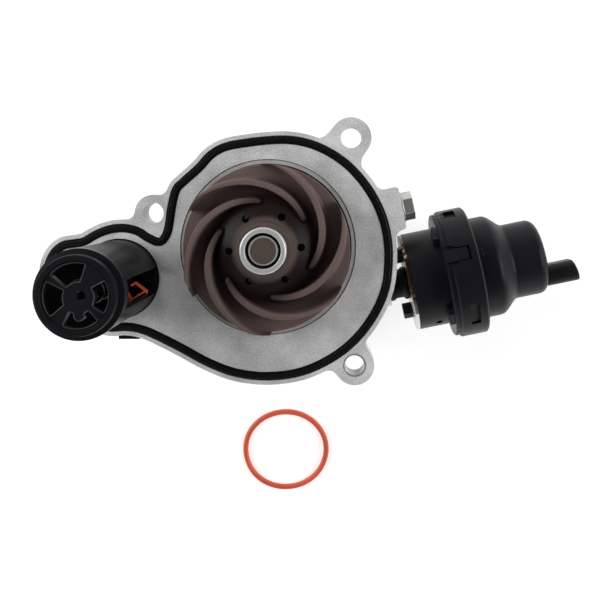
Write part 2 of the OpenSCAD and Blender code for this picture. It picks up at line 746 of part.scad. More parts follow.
module bracket_screws() {
    head_h = 3.2;
    color(ZINC) at_actuator() for (s = SCREW_S) translate([s, 0, pad_z - bracket_t - 0.1]) difference() {
        union() {
            cylinder(r = screw_r, h = bracket_t + screw_depth);
            translate([0, 0, -head_h]) cylinder(r = screw_r + 1.4, h = head_h);
        }
        translate([0, 0, -head_h - 1]) cylinder(r = 1.7, h = 2.8, $fn = 6);
    }
}

// Places of the two studs that hold the can to its bracket, from the bracket's near face
stud_r = 2;
module at_nuts() {
    for (a = [15, 195]) rotate([a, 0, 0]) translate([bracket_s, can_r - 8.2, 0]) children();
}

module actuator_nuts() {
    color(BLACK) at_actuator() at_nuts() difference() {
        translate([-4.2, 0, 0]) rotate([0, 90, 0]) cylinder(r = 3.6, h = 4.1, $fn = 6);
        along(stud_r + FIT, -2.4, 1);
    }
}

vent_angle = 149;
module actuator_can() {
    color(BLACK) at_actuator() {
        difference() {
            translate([can_s + 0.05, 0, 0]) turned([[0, 0], [can_r, 0], [can_r, can_len + 2.4],
                [rim_r, joint_s - rim_plate_t - can_s], [rim_r, joint_s - membrane_t / 2 - can_s - 0.1],
                [can_r - shell_t, joint_s - membrane_t / 2 - can_s - 0.1], [can_r - shell_t, shell_t],
                [0, shell_t]]);
            along(rod_r + 1.2, can_s - 1, can_s + shell_t + 1);
            rotate([vent_angle, 0, 0]) translate([can_s + can_len / 2, can_r + 1, 0]) rotate([90, 0, 0])
                cylinder(r = 1.5, h = shell_t + 2);
        }
        at_nuts() along(stud_r, -2, bracket_t + 1);
    }
}

// Rubber membrane held between the can and the bell, with one rolled fold
module rolling_diaphragm() {
    hub_r = piston_r - 0.8;
    color(RUBBER) at_actuator() translate([joint_s - membrane_t / 2, 0, 0]) turned([[rod_r + 0.3, 0],
        [hub_r, 0], [hub_r + 1.6, -3], [can_r - shell_t - 1.4, -3], [can_r - shell_t - 0.4, 0], [rim_r, 0],
        [rim_r, membrane_t], [can_r - shell_t - 1, membrane_t], [can_r - shell_t - 1.9, -2],
        [hub_r + 1.9, -2], [hub_r + 0.6, membrane_t], [rod_r + 0.3, membrane_t]]);
}

module diaphragm_plate() {
    plate_s = joint_s + membrane_t / 2 + 0.05;
    color(STEEL) at_actuator() translate([plate_s, 0, 0]) turned([[rod_r + FIT, 0], [piston_r - 2.4, 0],
        [piston_r - 2.4, 4], [piston_r - 3.6, 4], [piston_r - 3.6, 1.4], [rod_r + 2, 1.4],
        [rod_r + 2, 2.4], [rod_r + FIT, 2.4]]);
}

actuator_spring_r = min(nose_r - shell_t - 2.2, piston_r - 5.4);
module actuator_spring() {
    s0 = joint_s + membrane_t / 2 + 2.6;
    s1 = nose_end_s - shell_t - 1.2;
    turns = 7;
    color(STEEL) at_actuator() for (i = [0:turns - 1]) translate([s0 + i * (s1 - s0) / (turns - 1), 0, 0])
        rotate([0, 90, 0]) rotate_extrude() translate([actuator_spring_r, 0]) circle(r = 1, $fn = 24);
}

// Angles round the snap ring, counted from the side away from the foot
LATCHES = [68, 248];
WINDOWS = [19, 199];
HOOK_WINDOWS = [125, 305];
GRIPS = [40, 131, 220, 311];
lip_w = 2.3;

// A place on the rim of the snap ring: X from its near edge, Y outward from the pocket floor, Z along it
module on_rim(a) {
    rotate([a, 0, 0]) translate([clamp_s, clamp_r - 1.7, 0]) children();
}

// Snap ring that clamps the can and the bell together, with windows, latches and grips
module clamp_ring() {
    groove_r = rim_r + 0.2;
    color(BLACK) at_actuator() {
        difference() {
            union() {
                translate([clamp_s, 0, 0]) turned([[can_r + 0.5, -lip_w], [clamp_r - 1.4, -lip_w],
                    [clamp_r - 1, -lip_w + 0.4], [clamp_r - 1, 0], [clamp_r - 0.6, 0], [clamp_r, 0.6],
                    [clamp_r, clamp_w - 0.8], [clamp_r - 0.8, clamp_w], [bell_r + 0.5, clamp_w],
                    [bell_r + 0.5, joint_s - clamp_s + rim_plate_t + 1.2],
                    [groove_r, joint_s - clamp_s + rim_plate_t + 0.2],
                    [groove_r, joint_s - clamp_s - rim_plate_t - 0.2], [can_r + 0.5, 2.2]]);
                for (a = GRIPS) rotate([a, 0, 0]) translate([clamp_s - lip_w - 2.4, can_r + 0.6, -3.2])
                    cube([2.6, 4, 6.4]);
            }
            for (a = WINDOWS) on_rim(a) translate([2.8, 0, -3.8]) cube([4.9, 4, 7.6]);
            for (a = HOOK_WINDOWS) on_rim(a) translate([4.3, 0, -6]) cube([4, 4, 12]);
            // mouth of each latch, open to the near edge
            for (a = LATCHES) on_rim(a) translate([0, 4, 0]) rotate([90, 0, 0]) linear_extrude(4)
                polygon([[-lip_w - 1, -4.6], [0, -4.6], [3.6, -3.3], [9, -3.1], [9, 3.1], [3.6, 3.3],
                    [0, 4.6], [-lip_w - 1, 4.6]]);
        }
        // tongues in the latches, and hooks in the hook windows
        for (a = LATCHES) on_rim(a) translate([0, 0, -2.7]) linear_extrude(5.4)
            polygon([[-lip_w, -0.4], [-lip_w, 0.6], [3.4, 1.5], [8.1, 1.3], [8.1, -0.4]]);
        for (a = HOOK_WINDOWS) on_rim(a) translate([4.2, -0.5, -6]) cube([2.4, 1.9, 10]);
    }
}

// Bell and nose of the cover, open towards the can; the shoulder between them is one soft wave
module bell_shell(wide, end) {
    corner_r = 4;
    inner_r = corner_r - shell_t;
    wave = shoulder_len + 4;
    turned(concat([[bell_r - shell_t, 0], [rim_r, 0], [rim_r, rim_plate_t - membrane_t / 2],
            [bell_r, rim_plate_t + 0.8]],
        [for (i = [0:8]) [nose_r + (bell_r - nose_r) * pow((1 + cos(i * 22.5)) / 2, 0.8),
            wide - 2.5 + wave * i / 8]],
        [[nose_r, end - corner_r]],
        [for (i = [1:5]) [nose_r - corner_r * (1 - cos(i * 18)), end - corner_r * (1 - sin(i * 18))]],
        [[0, end], [0, end - shell_t], [nose_r - corner_r, end - shell_t]],
        [for (i = [5:-1:0])
            [nose_r - corner_r + inner_r * cos(i * 18), end - corner_r + inner_r * sin(i * 18)]],
        [[nose_r - shell_t, wide + shoulder_len - 0.6], [bell_r - shell_t - 2.4, wide - 0.6],
            [bell_r - shell_t, wide - 3.6]]));
}

module bell_cover() {
    start = joint_s + membrane_t / 2 + 0.1;
    wide = bell_end_s - start;
    end = nose_end_s - start;
    color(BLACK) at_actuator() difference() {
        union() {
            // stop beside the latch
            rotate([LATCHES[0], 0, 0]) translate([clamp_end_s + 0.3, bell_r - 0.6, -1.5])
                cube([2.2, 2.6, 3]);
            translate([start, 0, 0]) bell_shell(wide, end);
        }
        translate([nose_end_s - 6, port_y, 0]) rotate([0, 90, 0]) cylinder(r = 2, h = 10);
    }
}

module port_outline(w, h) {
    hull() for (z = [-1, 1]) translate([0, z * (h - w) / 2]) circle(d = w, $fn = 32);
}

// Connector with an oval socket that opens away from the bell
module vacuum_port() {
    color(BLACK) at_actuator() translate([nose_end_s + 0.05, port_y, 0]) difference() {
        rotate([90, 0, 90]) linear_extrude(port_len) port_outline(port_w, port_h);
        translate([4, 0, 0]) rotate([90, 0, 90]) linear_extrude(port_len)
            port_outline(port_w - 3, port_h - 3);
        translate([-1, 0, 0]) rotate([0, 90, 0]) cylinder(r = 2, h = 8);
        // slanted mouth
        translate([port_len, -port_w / 2, -port_h]) rotate([0, 0, atan2(port_slant, port_w)])
            cube([port_len, 2 * port_w, 2 * port_h]);
    }
}

// A slice of a pie between two angles
module sector(r, a0, a1) {
    steps = 8;
    polygon(concat([[0, 0]],
        [for (i = [0:steps]) let (a = a0 + (a1 - a0) * i / steps) [r * cos(a), r * sin(a)]]));
}

module thermostat_body() {
    oring_z = -9;
    barrel_r = cartridge_r - cartridge_wall - barrel_step;
    color(BLACK) at_thermostat() difference() {
        ring([[0, -cartridge_depth], [cartridge_r, -cartridge_depth], [cartridge_r, oring_z],
            [cartridge_r - 1.6, oring_z], [cartridge_r - 1.6, oring_z + 3.2], [cartridge_r, oring_z + 3.2],
            [cartridge_r, cap_z], [cartridge_r - cartridge_wall, cap_z],
            [cartridge_r - cartridge_wall, -1], [barrel_r, -1],
            [barrel_r, -cartridge_depth + 2.4], [0, -cartridge_depth + 2.4]]);
        // side window towards the impeller
        translate([0, 0, 1.2]) linear_extrude(cap_z - 4.6) sector(cartridge_r + 2, window_low, window_high);
        // outlet windows on the far side
        for (a = [125, 285]) translate([0, 0, 6]) linear_extrude(cap_z - 14)
            sector(cartridge_r + 2, a - 18, a + 18);
        // passage of the plug
        translate([0, 0, thermo_plug_z]) rotate([90, 0, 0]) translate([0, 0, thermo_bore_r - 10])
            cylinder(r = thermo_plug_r + FIT, h = 16);
    }
}

// Angles between which the four windows of the end cap lie, and the hub that they leave
CAP_WINDOWS = [[72, 141], [154, 219], [246, 312], [328, 388]];
cap_hub_r = 5.7;
CAP_HUB = [0.9, -0.8];
module cap_window(w, front_r) {
    offset(r = 0.7) offset(r = -0.7) difference() {
        sector(front_r - 2.7, w[0], w[1]);
        translate(CAP_HUB) circle(r = cap_hub_r);
        translate([1.2, -7.2]) circle(r = 1.9);
    }
}

module thermostat_end_cap() {
    front_r = cartridge_r - 2;
    color(BLACK) at_thermostat() difference() {
        ring([[0, cap_z + 2.6], [cartridge_r - 3.4, cap_z + 2.6], [cartridge_r - 3.4, cap_z + 0.05],
            [cartridge_r + 0.2, cap_z + 0.05], [cartridge_r + 0.2, cap_z + 2.4],
            [front_r - 0.8, cap_z + 2.9], [front_r - 0.8, cap_z + 4],
            [front_r + 0.4, cap_z + 4.4], [front_r, cartridge_h],
            [front_r - 1.8, cartridge_h], [front_r - 1.8, cartridge_h - 0.8], [0, cartridge_h - 0.8]]);
        for (w = CAP_WINDOWS) translate([0, 0, cap_z]) linear_extrude(cap_h + 1) cap_window(w, front_r);
        translate([1.7, 0, cap_z]) cylinder(r = 1.8, h = cap_h + 1);
    }
}

// Orange sealing frame that lies across the bore beside the side window: two rails and their rungs
seal_wall_r = cartridge_r - cartridge_wall - 0.1;
module rail(from, to, w) {
    hull() {
        translate(from) circle(d = w, $fn = 20);
        translate(to) circle(d = w, $fn = 20);
    }
}

module thermostat_port_seal() {
    corner = [seal_wall_r - 1.4, -4.2];
    color(SEAL_ORANGE) at_thermostat() translate([0, 0, 6.6]) {
        linear_extrude(2) intersection() {
            circle(r = seal_wall_r);
            union() {
                rail(corner, [-2.5, -14.2], 0.8);
                rail(corner + [0.9, -1.5], [-1.5, -15.4], 0.8);
                rail(corner, corner + [0.9, -1.5], 0.9);
                rail([-0.6, -13.1], [0.6, -14.6], 0.9);
                rail(corner, [seal_wall_r - 5.6, -0.9], 0.9);
                rail([seal_wall_r - 5.6, -0.9], [seal_wall_r - 7.2, -1.9], 0.9);
                rail([7.2, -7.8], [5.4, -5], 0.9);
            }
        }
    }
}

module thermostat_o_ring() {
    section_r = 0.9;
    color(RUBBER) at_thermostat() rotate_extrude()
        translate([thermo_bore_r - section_r - RUN, -7.4]) circle(r = section_r, $fn = 24);
}

module wax_element() {
    base_z = -cartridge_depth + 2.45;
    color(BRASS) at_thermostat() ring([[0, base_z], [7, base_z], [7, base_z + 3], [5.2, base_z + 3],
        [5.2, base_z + 12], [2.6, base_z + 13.5], [2.6, valve_z - 0.1], [0, valve_z - 0.1]]);
}

// Sliding valve that the wax element pushes open
module thermostat_valve() {
    color([0.2, 0.2, 0.21]) at_thermostat() difference() {
        translate([0, 0, valve_z]) ring([[0, 0], [valve_r - 1.4, 0], [valve_r - 1.4, 2], [valve_r, 2],
            [valve_r, 8], [valve_r - 1.5, 8], [valve_r - 1.5, 3.4], [3.4, 3.4], [3.4, 10], [0, 10]]);
        for (i = [0:3]) rotate([0, 0, 45 + i * 90]) translate([valve_r / 2 + 1.6, 0, valve_z - 1])
            cylinder(r = 2.4, h = 6);
    }
}

module thermostat_spring() {
    turns = 8;
    z0 = valve_z + 3.4 + spring_wire_r + FIT;
    z1 = cap_z + 2.6 - spring_wire_r - 0.1;
    color(BLACK) at_thermostat() for (i = [0:turns - 1])
        translate([0, 0, z0 + i * (z1 - z0) / (turns - 1)])
        rotate_extrude() translate([4.6, 0]) circle(r = spring_wire_r, $fn = 24);
}

// Electric plug of the heated wax element
module thermostat_plug() {
    color(BLACK) at_thermo_plug(3) difference() {
        union() {
            cylinder(r = thermo_plug_r, h = 8);
            translate([-5.4, -5.5, 7]) cube([9.4, 11, 8.2]);
        }
        translate([-4.2, -4.3, 10.2]) cube([7, 8.6, 10]);
    }
}

module loose_sealing_ring() {
    color(SEAL_ORANGE) translate([2.8, ring_y, floor_z + ring_section / 2]) rotate_extrude()
        translate([(ring_d - ring_section) / 2, 0]) circle(r = ring_section / 2, $fn = 32);
}

pump_housing();
housing_gasket();
dowel_sleeve();
coolant_plug();
plug_washer();
bearing_outer_ring();
bearing_balls();
bearing_cages();
bearing_seals();
pump_shaft();
impeller();
impeller_bush();
seal_cup();
seal_spring();
seal_carbon_ring();
seal_rotating_ring();
drive_hub();
belt_pulley();
pulley_bolts();
control_sleeve();
sleeve_seal_ring();
sleeve_lift_pin();
rod_bush();
rod_seal();
rod_boot();
actuator_rod();
actuator_bracket();
bracket_screws();
actuator_can();
actuator_nuts();
rolling_diaphragm();
diaphragm_plate();
actuator_spring();
clamp_ring();
bell_cover();
vacuum_port();
thermostat_body();
thermostat_end_cap();
thermostat_port_seal();
thermostat_o_ring();
wax_element();
thermostat_valve();
thermostat_spring();
thermostat_plug();
loose_sealing_ring();
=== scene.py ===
"""Looks for the coolant pump: CAD nodes with rounded edges, a bladed impeller, wound springs, a loose ring,
procedural materials, and the studio round them."""

import json
import math

import bmesh
import bpy
from mathutils import Matrix, Vector


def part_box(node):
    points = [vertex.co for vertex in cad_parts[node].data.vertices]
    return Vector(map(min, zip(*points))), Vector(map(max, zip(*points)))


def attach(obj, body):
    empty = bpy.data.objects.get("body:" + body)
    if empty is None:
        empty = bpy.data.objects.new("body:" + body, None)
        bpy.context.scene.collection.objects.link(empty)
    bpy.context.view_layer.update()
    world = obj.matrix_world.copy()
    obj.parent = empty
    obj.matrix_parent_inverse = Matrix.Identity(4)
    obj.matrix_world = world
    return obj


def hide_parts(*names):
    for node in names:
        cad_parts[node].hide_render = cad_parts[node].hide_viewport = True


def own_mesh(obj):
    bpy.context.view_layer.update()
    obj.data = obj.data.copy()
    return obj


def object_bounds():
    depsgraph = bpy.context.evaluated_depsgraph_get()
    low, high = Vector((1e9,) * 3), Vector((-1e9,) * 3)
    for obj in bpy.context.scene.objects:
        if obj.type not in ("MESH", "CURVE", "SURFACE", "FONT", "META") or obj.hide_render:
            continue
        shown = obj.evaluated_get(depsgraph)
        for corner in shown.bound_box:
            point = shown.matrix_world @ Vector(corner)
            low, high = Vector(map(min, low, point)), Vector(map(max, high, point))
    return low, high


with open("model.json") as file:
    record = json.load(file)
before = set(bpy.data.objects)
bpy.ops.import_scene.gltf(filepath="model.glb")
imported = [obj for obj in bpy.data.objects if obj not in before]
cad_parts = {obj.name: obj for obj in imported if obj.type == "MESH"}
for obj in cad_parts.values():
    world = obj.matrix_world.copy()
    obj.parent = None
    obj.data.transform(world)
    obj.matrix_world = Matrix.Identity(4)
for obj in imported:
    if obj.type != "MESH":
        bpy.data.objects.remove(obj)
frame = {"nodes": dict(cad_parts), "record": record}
CAD_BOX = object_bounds()
NODES = frame["nodes"]
BODY_OF = {node: body for body, nodes in frame["record"]["behaviour"]["bodies"].items() for node in nodes}
SLOT_OF = {s["node"]: s["material_slot"] for s in frame["record"]["subparts"]}
JOINTS = {joint["name"]: joint for joint in frame["record"]["behaviour"]["joints"]}
MM = 0.001
WALL_LIGHT = 1.0
WORLD_STRENGTH = 1.15
LENS_MM = 48.84
LENS_SHIFT = (-0.07167, -0.18333)
CAMERA_PLACE_MM = (32.2, 24.5, 350)
SHAFT_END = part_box("pump_shaft")[1][2]
SHAFT_R = 6.1 * MM
END_R = 5.5 * MM
CAVITY_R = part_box("control_sleeve")[1][0] + 0.3 * MM
CAVITY_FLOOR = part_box("seal_cup")[0][2]
BRACKET_LOW, BRACKET_HIGH = (corner[1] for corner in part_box("actuator_bracket"))
# Share of the bracket along Y that is painted white as a reflection.
REFLECTION_SHARE = 0.34
BRACKET_REFLECTION_EDGE = BRACKET_LOW + REFLECTION_SHARE * (BRACKET_HIGH - BRACKET_LOW)


# ---------------------------------------------------------------- camera, light and floor

def link(thing):
    """Puts an object into the scene."""
    bpy.context.scene.collection.objects.link(thing)


def make_camera():
    """Straight down over the mounting face; the frame lies to one side of the camera's own axis."""
    data = bpy.data.cameras.new("camera")
    data.sensor_width = 36
    data.lens = LENS_MM
    data.shift_x, data.shift_y = LENS_SHIFT
    data.clip_start = 0.01
    data.clip_end = 20
    camera = bpy.data.objects.new("camera", data)
    camera.location = Vector(CAMERA_PLACE_MM) * MM
    link(camera)
    bpy.context.scene.camera = camera


def soft_light(name, place, target, size, watts):
    """A rectangular lamp that faces its target."""
    data = bpy.data.lights.new(name, "AREA")
    data.shape = "RECTANGLE"
    data.size, data.size_y = size
    data.energy = watts
    light = bpy.data.objects.new(name, data)
    light.location = place
    light.rotation_euler = (Vector(target) - Vector(place)).to_track_quat("-Z", "Y").to_euler()
    link(light)


def make_lights():
    """A studio tent, bright low down all round and dim overhead, and one lamp on each side."""
    world = bpy.data.worlds.new("studio")
    bpy.context.scene.world = world
    world.use_nodes = True
    tree = world.node_tree
    background = tree.nodes["Background"]
    place = tree.nodes.new("ShaderNodeTexCoord")
    split = tree.nodes.new("ShaderNodeSeparateXYZ")
    tree.links.new(place.outputs["Generated"], split.inputs["Vector"])
    ramp = tree.nodes.new("ShaderNodeValToRGB")
    tree.links.new(split.outputs["Z"], ramp.inputs["Fac"])
    stops = [(0.0, WALL_LIGHT), (0.22, WALL_LIGHT), (0.46, 0.36), (0.75, 0.1), (1.0, 0.05)]
    while len(ramp.color_ramp.elements) < len(stops):
        ramp.color_ramp.elements.new(0.5)
    for element, (height, light) in zip(ramp.color_ramp.elements, stops):
        element.position = height
        element.color = (light, light, light, 1)
    tree.links.new(ramp.outputs["Color"], background.inputs["Color"])
    background.inputs["Strength"].default_value = WORLD_STRENGTH
    soft_light("key_left", (-0.85, 0.3, 0.62), (0, 0, 0), (0.8, 0.5), 6.4)
    soft_light("fill_right", (0.95, 0.1, 0.6), (0.05, 0, 0), (0.8, 0.5), 5.6)
    bpy.context.scene.view_settings.view_transform = "Standard"


def make_floor():
    """A white floor at the pump's lowest point, which glows a little."""
    bpy.ops.mesh.primitive_plane_add(size=6, location=(0, 0, CAD_BOX[0][2]))
    floor = bpy.context.object
    floor.name = "floor"
    material = bpy.data.materials.new("floor_paint")
    material.use_nodes = True
    shader = material.node_tree.nodes["Principled BSDF"]
    shader.inputs["Base Color"].default_value = (0.9, 0.9, 0.9, 1)
    shader.inputs["Roughness"].default_value = 0.9
    shader.inputs["Specular IOR Level"].default_value = 0.1
    shader.inputs["Emission Color"].default_value = (1, 1, 1, 1)
    shader.inputs["Emission Strength"].default_value = 0.5
    floor.data.materials.append(material)


# ---------------------------------------------------------------- materials

class Look:
    """A principled material with helpers for noise, tone, bump and roughness."""

    def __init__(self, name, color, metallic=0.0, roughness=0.5):
        self.material = bpy.data.materials.new(name)
        self.material.use_nodes = True
        self.tree = self.material.node_tree
        self.shader = self.tree.nodes["Principled BSDF"]
        self.shader.inputs["Base Color"].default_value = (*color, 1)
        self.shader.inputs["Metallic"].default_value = metallic
        self.shader.inputs["Roughness"].default_value = roughness
        self.place = self.add("ShaderNodeTexCoord").outputs["Object"]
        self.height = None

    def add(self, kind, **values):
        node = self.tree.nodes.new(kind)
        for key, value in values.items():
            if key in node.inputs:
                node.inputs[key].default_value = value
            else:
                setattr(node, key, value)
        return node

    def link(self, source, target):
        self.tree.links.new(source, target)

    def noise(self, per_mm, detail=3.0, rough=0.55):
        """Noise with so many grains in a millimetre."""
        node = self.add("ShaderNodeTexNoise", Scale=per_mm * 1000, Detail=detail, Roughness=rough)
        self.link(self.place, node.inputs["Vector"])
        return node.outputs["Fac"]

    def along(self, axis):
        """The place along one axis."""
        split = self.add("ShaderNodeSeparateXYZ")
        self.link(self.place, split.inputs["Vector"])
        return split.outputs[axis]

    def calculate(self, operation, *terms):
        """An arithmetic node; each term is a socket or a number."""
        node = self.add("ShaderNodeMath", operation=operation)
        for socket, term in zip(node.inputs, terms):
            if isinstance(term, float):
                socket.default_value = term
            else:
                self.link(term, socket)
        return node.outputs["Value"]

    def radius(self):
        """Distance from the shaft axis."""
        flat = self.add("ShaderNodeVectorMath", operation="MULTIPLY")
        self.link(self.place, flat.inputs[0])
        flat.inputs[1].default_value = (1, 1, 0)
        length = self.add("ShaderNodeVectorMath", operation="LENGTH")
        self.link(flat.outputs["Vector"], length.inputs[0])
        return length.outputs["Value"]

    def ramp(self, source, low, high, first, last):
        """Runs evenly from first to last as the source runs from low to high."""
        node = self.add("ShaderNodeMapRange")
        node.inputs["From Min"].default_value = low
        node.inputs["From Max"].default_value = high
        node.inputs["To Min"].default_value = first
        node.inputs["To Max"].default_value = last
        self.link(source, node.inputs["Value"])
        return node.outputs["Result"]

    def tone(self, source, low, high, dark, light):
        """Base colour runs from dark to light as the source runs from low to high."""
        node = self.add("ShaderNodeMix", data_type="RGBA")
        self.link(self.ramp(source, low, high, 0, 1), node.inputs["Factor"])
        node.inputs["A"].default_value = (*dark, 1)
        node.inputs["B"].default_value = (*light, 1)
        self.link(node.outputs["Result"], self.shader.inputs["Base Color"])
        return self

    def rough(self, source, low, high, dull, shiny):
        """Roughness runs from dull to shiny as the source runs from low to high."""
        self.link(self.ramp(source, low, high, dull, shiny), self.shader.inputs["Roughness"])
        return self

    def bump(self, source, height_mm, strength=1.0):
        """Adds a relief of the given height over those added before."""
        node = self.add("ShaderNodeBump", Strength=strength, Distance=height_mm * MM)
        self.link(source, node.inputs["Height"])
        if self.height:
            self.link(self.height, node.inputs["Normal"])
        self.height = node.outputs["Normal"]
        self.link(self.height, self.shader.inputs["Normal"])
        return self


def cast_aluminium():
    """Grey speckle of a die casting, with painted shade inside the impeller's cavity."""
    look = Look("cast_aluminium", (0.62, 0.62, 0.61), 0.45, 0.55)
    speckle = look.calculate("MULTIPLY_ADD", look.noise(1.15, rough=0.75), 0.8, look.noise(0.05))
    # Painted shade: the grey turns darker within the cavity's radius and above the seal cup's floor.
    painted_cavity_shade = look.ramp(look.radius(), CAVITY_R - 1.2 * MM, CAVITY_R - 0.4 * MM, 0.72, 0)
    above = look.ramp(look.along("Z"), CAVITY_FLOOR - 0.5 * MM, CAVITY_FLOOR, 0, 1)
    lightness = look.calculate("SUBTRACT", speckle, look.calculate("MULTIPLY", painted_cavity_shade, above))
    look.tone(lightness, 0.1, 1.1, (0.02, 0.02, 0.02), (0.95, 0.95, 0.945))
    look.rough(look.noise(0.9), 0.3, 0.7, 0.62, 0.5)
    look.bump(look.noise(2.8), 0.035)
    return look.bump(look.noise(0.35), 0.05)


def plastic(name, color, roughness, grain_mm, gloss=0.5):
    """Moulded plastic or rubber: faint clouds in the colour and a fine moulded grain."""
    look = Look(name, color, 0.0, roughness)
    light = tuple(c * 1.3 + 0.001 for c in color)
    look.tone(look.noise(0.05), 0.3, 0.7, color, light)
    look.rough(look.noise(0.12), 0.3, 0.7, roughness + 0.03, roughness - 0.03)
    look.shader.inputs["Specular IOR Level"].default_value = gloss
    return look.bump(look.noise(2.0), grain_mm)


def impeller_look():
    """Brown phenolic moulding, with painted shade down in the channels around the hub."""
    look = Look("impeller_plastic", (0.10, 0.075, 0.068), 0.0, 0.36)
    # The depth attribute carries painted shade: dark brown deep in the channels, the plain brown on the rim
    # and blade tops.
    depth = look.add("ShaderNodeAttribute", attribute_name="depth")
    look.tone(depth.outputs["Fac"], 0, 1, (0.155, 0.112, 0.101), (0.016, 0.010, 0.0088))
    look.rough(look.noise(0.12), 0.3, 0.7, 0.4, 0.33)
    look.shader.inputs["Specular IOR Level"].default_value = 0.11
    return look.bump(look.noise(2.2), 0.006)


def bracket_look():
    """Plated steel with coppery tarnish above and a painted white reflection below, with painted highlight
    streaks.
    """
    look = Look("bracket_steel", (0.62, 0.46, 0.38), 0.85, 0.3)
    # Painted reflection: white below a share of the bracket along Y; painted highlights: bright noise
    # streaks over the coppery part.
    painted_reflection_band = look.ramp(look.along("Y"), BRACKET_REFLECTION_EDGE - 1.5 * MM, BRACKET_REFLECTION_EDGE + 1.5 * MM, 1, 0)
    painted_highlight_streaks = look.ramp(look.noise(0.35, 4, 0.7), 0.56, 0.62, 0, 0.7)
    look.tone(look.calculate("ADD", painted_reflection_band, painted_highlight_streaks), 0, 1, (0.13, 0.06, 0.04), (0.70, 0.70, 0.68))
    look.rough(look.noise(1.2), 0.3, 0.7, 0.42, 0.26)
    return look.bump(look.noise(0.6), 0.04)


def steel(name, color, roughness, metallic=1.0):
    """Metal with faint clouds in its colour and shine."""
    look = Look(name, color, metallic, roughness)
    dark = tuple(c * 0.8 for c in color)
    look.tone(look.noise(0.15), 0.3, 0.7, dark, color)
    look.rough(look.noise(1.2), 0.3, 0.7, roughness + 0.08, roughness - 0.06)
    return look.bump(look.noise(2.5, 2), 0.01)


def turned(name, color, roughness):
    """Fine lathe rings about the shaft's axis, a brown shaft end, and painted shade, near black, on the
    shaft below its end where it sits in the gap.
    """
    look = Look(name, color, 0.55, roughness)
    away = look.radius()
    height = look.along("Z")
    near = look.ramp(away, END_R - 0.15 * MM, END_R, 1, 0)
    high = look.ramp(height, SHAFT_END - 0.3 * MM, SHAFT_END - 0.1 * MM, 0, 1)
    look.tone(look.calculate("MULTIPLY", near, high), 0, 1, color, (0.15, 0.11, 0.096))
    # Painted shade: below its end the shaft turns near black, so the gap round it reads dark.
    beside = look.ramp(away, SHAFT_R + 1.1 * MM, SHAFT_R + 1.25 * MM, 1, 0)
    below = look.ramp(height, SHAFT_END - 1.4 * MM, SHAFT_END - 0.8 * MM, 1, 0)
    painted_gap_shade = look.add("ShaderNodeMix", data_type="RGBA")
    look.link(look.calculate("MULTIPLY", beside, below), painted_gap_shade.inputs["Factor"])
    look.link(look.shader.inputs["Base Color"].links[0].from_socket, painted_gap_shade.inputs["A"])
    painted_gap_shade.inputs["B"].default_value = (0.008, 0.008, 0.008, 1)
    look.link(painted_gap_shade.outputs["Result"], look.shader.inputs["Base Color"])
    look.rough(look.noise(1.2), 0.3, 0.7, roughness + 0.06, roughness - 0.04)
    look.bump(look.noise(2.5, 2), 0.006)
    outward = look.add("ShaderNodeCombineXYZ")
    look.link(away, outward.inputs["X"])
    rings = look.add("ShaderNodeTexNoise", Scale=4000, Detail=1.0)
    look.link(outward.outputs["Vector"], rings.inputs["Vector"])
    return look.bump(rings.outputs["Fac"], 0.012, 0.7)


def make_looks():
    """Every look by its name; all but the lip highlight's are material slots."""
    return {
        "cast_aluminium": cast_aluminium(),
        "gasket_rubber": plastic("gasket_rubber", (0.0035, 0.0035, 0.0035), 0.28, 0.003, gloss=0.4),
        "black_rubber": plastic("black_rubber", (0.005, 0.005, 0.005), 0.5, 0.015, gloss=0.15),
        "orange_rubber": plastic("orange_rubber", (0.58, 0.09, 0.045), 0.36, 0.006),
        "machined_steel": steel("machined_steel", (0.62, 0.62, 0.63), 0.36, metallic=0.7),
        "turned_steel": turned("turned_steel", (0.66, 0.66, 0.65), 0.42),
        "sleeve_steel": steel("sleeve_steel", (0.72, 0.72, 0.71), 0.42, metallic=0.45),
        "zinc_steel": steel("zinc_steel", (0.56, 0.56, 0.54), 0.34, metallic=0.8),
        "black_steel": steel("black_steel", (0.03, 0.03, 0.03), 0.42),
        "bracket_steel": bracket_look(),
        "brass": steel("brass", (0.62, 0.46, 0.20), 0.3),
        "impeller_plastic": impeller_look(),
        "seal_ceramic": plastic("seal_ceramic", (0.30, 0.27, 0.25), 0.2, 0.004),
        "pulley_paint": plastic("pulley_paint", (0.010, 0.010, 0.011), 0.42, 0.02),
        "black_plastic": plastic("black_plastic", (0.0072, 0.0070, 0.0092), 0.36, 0.005, gloss=0.14),
        # Lighter than the cap's black plastic: painted highlight lines on the window lips.
        "lip_and_highlight": plastic("lip_and_highlight", (0.030, 0.029, 0.036), 0.3, 0.002),
        "gloss_black_plastic": plastic("gloss_black_plastic", (0.0066, 0.0064, 0.0076), 0.36, 0.006,
                                       gloss=0.05),
    }


# ---------------------------------------------------------------- shape helpers

def new_piece(name, mesh, stands_for, look):
    """Adds a piece that stands for CAD nodes and rides on their body."""
    piece = bpy.data.objects.new(name, mesh)
    link(piece)
    mesh.materials.clear()
    mesh.materials.append(LOOKS[look].material)
    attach(piece, BODY_OF[stands_for[0]])
    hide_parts(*stands_for)
    return piece


